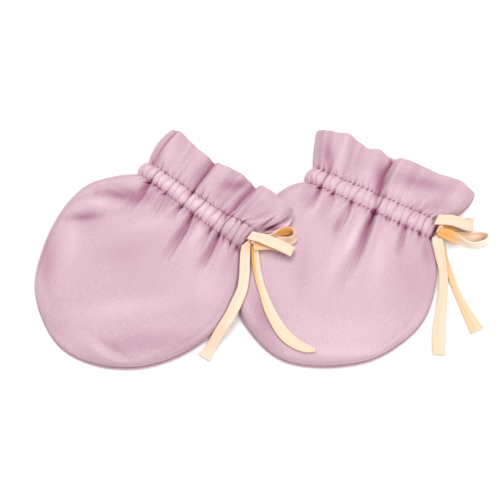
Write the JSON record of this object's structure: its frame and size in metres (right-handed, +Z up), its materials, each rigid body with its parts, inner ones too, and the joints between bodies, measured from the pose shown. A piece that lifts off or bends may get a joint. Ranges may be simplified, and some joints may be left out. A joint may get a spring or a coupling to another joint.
{
  "type": "pair of baby mittens",
  "caption": "Flat-laid pair of satin baby scratch mittens, each a round pouch with a gathered drawstring casing, a frill and a tied ribbon bow.",
  "frame": {"origin": "on the ground under the middle of the cloth of the pair, bows left out", "axes": "+X to the right along the pair, +Y away from the fingertips' side, +Z up off the surface that the pair lies on"},
  "size_m": [0.2002, 0.1132, 0.0128],
  "materials": {
    "satin_front": "dusty pink satin, soft sheen",
    "satin_back": "dusty pink satin, the shaded back panel",
    "ribbon": "cream satin, pressed flat"
  },
  "bodies": {
    "root": {"left_front": "satin_front", "left_back": "satin_back", "left_knot": "ribbon", "left_loop_front": "ribbon", "left_loop_rear": "ribbon", "left_tail_1": "ribbon", "left_tail_2": "ribbon", "right_front": "satin_front", "right_back": "satin_back", "right_knot": "ribbon", "right_loop_upper": "ribbon", "right_loop_lower": "ribbon", "right_tail_1": "ribbon", "right_tail_2": "ribbon"}
  },
  "joints": []
}
